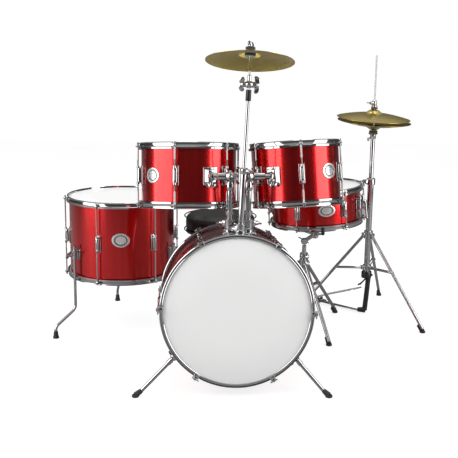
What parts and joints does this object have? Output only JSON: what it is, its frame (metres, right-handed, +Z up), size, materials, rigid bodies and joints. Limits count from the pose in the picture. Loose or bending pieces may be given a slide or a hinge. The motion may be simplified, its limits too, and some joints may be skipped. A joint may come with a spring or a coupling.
{
  "type": "acoustic drum kit",
  "caption": "Junior acoustic drum kit: bass drum carrying mounted toms and a crash cymbal, with floor tom, snare, hi-hat, kick pedal and throne.",
  "frame": {"origin": "middle of the kit's footprint, on the floor", "axes": "+Z up; +Y from the bass drum's front head towards the player; +X to the right of someone facing the bass drum, towards the hi-hat"},
  "size_m": [1.253, 1.0898, 0.9592],
  "materials": {
    "drum_wrap": "glossy candy red drum wrap",
    "drum_head": "coated white film",
    "hoop_chrome": "chrome-plated flanged steel",
    "chrome": "bright chrome plate on steel tube",
    "cymbal_bronze": "lathed and polished",
    "black_casting": "semi-gloss black paint on casting",
    "seat_vinyl": "fine-grained black vinyl"
  },
  "bodies": {
    "root": {"bass_shell": "drum_wrap", "bass_batter_head": "drum_head", "bass_resonant_head": "drum_head", "bass_batter_hoop": "hoop_chrome", "bass_resonant_hoop": "hoop_chrome", "tom_mount_block": "chrome", "floor_tom_shell": "drum_wrap", "floor_tom_batter_head": "drum_head", "floor_tom_resonant_head": "drum_head", "floor_tom_batter_hoop": "hoop_chrome", "floor_tom_resonant_hoop": "hoop_chrome", "snare_stand_lower_tube": "chrome", "snare_stand_tripod": "chrome", "hihat_lower_tube": "chrome", "hihat_tripod": "chrome", "hihat_pedal_frame": "black_casting", "kick_pedal_base": "chrome", "throne_tripod": "chrome"},
    "left_spur": {"left_spur": "chrome"},
    "right_spur": {"right_spur": "chrome"},
    "left_tom_post": {"left_tom_post": "chrome"},
    "left_tom_ratchet": {"left_tom_ratchet": "chrome"},
    "left_tom": {"left_tom_shell": "drum_wrap", "left_tom_batter_head": "drum_head", "left_tom_resonant_head": "drum_head", "left_tom_batter_hoop": "hoop_chrome", "left_tom_resonant_hoop": "hoop_chrome", "left_tom_arm": "chrome"},
    "right_tom_post": {"right_tom_post": "chrome"},
    "right_tom_ratchet": {"right_tom_ratchet": "chrome"},
    "right_tom": {"right_tom_shell": "drum_wrap", "right_tom_batter_head": "drum_head", "right_tom_resonant_head": "drum_head", "right_tom_batter_hoop": "hoop_chrome", "right_tom_resonant_hoop": "hoop_chrome", "right_tom_arm": "chrome"},
    "crash_rod": {"crash_rod": "chrome"},
    "crash_tilter": {"crash_tilter": "chrome"},
    "crash_cymbal": {"crash_cymbal": "cymbal_bronze"},
    "floor_tom_leg_1": {"floor_tom_leg_1": "chrome"},
    "floor_tom_leg_2": {"floor_tom_leg_2": "chrome"},
    "floor_tom_leg_3": {"floor_tom_leg_3": "chrome"},
    "snare_upper_tube": {"snare_stand_upper_tube": "chrome"},
    "snare": {"snare_shell": "drum_wrap", "snare_batter_head": "drum_head", "snare_resonant_head": "drum_head", "snare_batter_hoop": "hoop_chrome", "snare_resonant_hoop": "hoop_chrome", "snare_basket": "chrome"},
    "snare_lever": {"snare_strainer_lever": "chrome"},
    "hihat_upper_tube": {"hihat_upper_tube": "chrome", "hihat_bottom_cymbal": "cymbal_bronze"},
    "hihat_footboard": {"hihat_footboard": "chrome"},
    "hihat_pull_rod": {"hihat_pull_rod": "chrome", "hihat_top_cymbal": "cymbal_bronze"},
    "hihat_drive_link": {"hihat_drive_link": "black_casting"},
    "kick_footboard": {"kick_footboard": "chrome"},
    "kick_beater": {"kick_beater": "chrome"},
    "throne_post": {"throne_post": "chrome"},
    "throne_seat": {"throne_seat": "seat_vinyl"}
  },
  "joints": [
    {"name": "left_spur_fold", "type": "hinge", "parent": "root", "child": "left_spur", "pos_m": [-0.22922, -0.473, 0.10036], "axis": [-0.6157, 0.0687, 0.785], "range_deg": [-100, 0]},
    {"name": "right_spur_fold", "type": "hinge", "parent": "root", "child": "right_spur", "pos_m": [0.10956, -0.47352, 0.09447], "axis": [-0.6428, -0.0668, -0.7631], "range_deg": [-100, 0]},
    {"name": "left_tom_height", "type": "slide", "parent": "root", "child": "left_tom_post", "axis": [0, 0, 1], "range_m": [-0.01, 0.05]},
    {"name": "left_tom_swivel", "type": "hinge", "parent": "left_tom_post", "child": "left_tom_ratchet", "pos_m": [-0.07744, -0.42215, 0.59842], "axis": [0, 0, 1], "range_deg": [-6, 6]},
    {"name": "left_tom_tilt", "type": "hinge", "parent": "left_tom_ratchet", "child": "left_tom", "pos_m": [-0.07744, -0.42215, 0.59842], "axis": [1, 0, 0], "range_deg": [-5, 18]},
    {"name": "right_tom_height", "type": "slide", "parent": "root", "child": "right_tom_post", "axis": [0, 0, 1], "range_m": [-0.01, 0.05]},
    {"name": "right_tom_swivel", "type": "hinge", "parent": "right_tom_post", "child": "right_tom_ratchet", "pos_m": [-0.02644, -0.42215, 0.59842], "axis": [0, 0, 1], "range_deg": [-6, 6]},
    {"name": "right_tom_tilt", "type": "hinge", "parent": "right_tom_ratchet", "child": "right_tom", "pos_m": [-0.02644, -0.42215, 0.59842], "axis": [1, 0, 0], "range_deg": [-5, 18]},
    {"name": "crash_height", "type": "slide", "parent": "root", "child": "crash_rod", "axis": [0.0427, 0, 0.9991], "range_m": [-0.06, 0.03]},
    {"name": "crash_tilt", "type": "hinge", "parent": "crash_rod", "child": "crash_tilter", "pos_m": [-0.03234, -0.44415, 0.84605], "axis": [0.9991, 0, -0.0427], "range_deg": [-15, 25]},
    {"name": "crash_cymbal_spin", "type": "hinge", "parent": "crash_tilter", "child": "crash_cymbal", "pos_m": [-0.0286, -0.42237, 0.9333], "axis": [0.0415, 0.2419, 0.9694], "continuous": true},
    {"name": "floor_tom_leg_1_height", "type": "slide", "parent": "root", "child": "floor_tom_leg_1", "axis": [0, 0, 1], "range_m": [-0.03, 0.06]},
    {"name": "floor_tom_leg_2_height", "type": "slide", "parent": "root", "child": "floor_tom_leg_2", "axis": [0, 0, 1], "range_m": [-0.03, 0.06]},
    {"name": "floor_tom_leg_3_height", "type": "slide", "parent": "root", "child": "floor_tom_leg_3", "axis": [0, 0, 1], "range_m": [-0.03, 0.06]},
    {"name": "snare_stand_height", "type": "slide", "parent": "root", "child": "snare_upper_tube", "axis": [0, 0, 1], "range_m": [-0.02, 0.05]},
    {"name": "snare_basket_tilt", "type": "hinge", "parent": "snare_upper_tube", "child": "snare", "pos_m": [0.21256, 0.09385, 0.302], "axis": [0, 1, 0], "range_deg": [-6, 8]},
    {"name": "snare_strainer", "type": "hinge", "parent": "snare", "child": "snare_lever", "pos_m": [0.39232, 0.00063, 0.45609], "axis": [-0.5433, -0.8387, -0.038], "range_deg": [0, 60]},
    {"name": "hihat_stand_height", "type": "slide", "parent": "root", "child": "hihat_upper_tube", "axis": [0, 0, 1], "range_m": [-0.04, 0.08]},
    {"name": "hihat_pedal_press", "type": "hinge", "parent": "root", "child": "hihat_footboard", "pos_m": [0.31556, 0.39285, 0.016], "axis": [0.7715, 0.6362, 0], "range_deg": [0, 2.2], "stiffness_Nm_per_rad": 12, "springref_deg": -4.58},
    {"name": "hihat_pull", "type": "slide", "parent": "hihat_upper_tube", "child": "hihat_pull_rod", "axis": [0, 0, 1], "range_m": [-0.009, 0]},
    {"name": "hihat_link_pull", "type": "slide", "parent": "root", "child": "hihat_drive_link", "axis": [0, 0, 1], "range_m": [-0.009, 0]},
    {"name": "kick_pedal_press", "type": "hinge", "parent": "root", "child": "kick_footboard", "pos_m": [-0.05744, 0.0298, 0.014], "axis": [1, 0, 0], "range_deg": [0, 10], "stiffness_Nm_per_rad": 2, "springref_deg": -28.65},
    {"name": "kick_beater_swing", "type": "hinge", "parent": "root", "child": "kick_beater", "pos_m": [-0.05744, -0.1572, 0.11], "axis": [1, 0, 0], "range_deg": [0, 42]},
    {"name": "throne_height", "type": "slide", "parent": "root", "child": "throne_post", "axis": [0, 0, 1], "range_m": [0, 0.05]},
    {"name": "throne_seat_spin", "type": "hinge", "parent": "throne_post", "child": "throne_seat", "pos_m": [-0.06144, 0.34485, 0], "axis": [0, 0, 1], "continuous": true}
  ],
  "couplings": [
    {"joint": "hihat_pull", "follows": "hihat_pedal_press", "m_per_rad": -0.23439},
    {"joint": "hihat_link_pull", "follows": "hihat_pedal_press", "m_per_rad": -0.23439},
    {"joint": "kick_beater_swing", "follows": "kick_pedal_press", "ratio": 4.2}
  ]
}
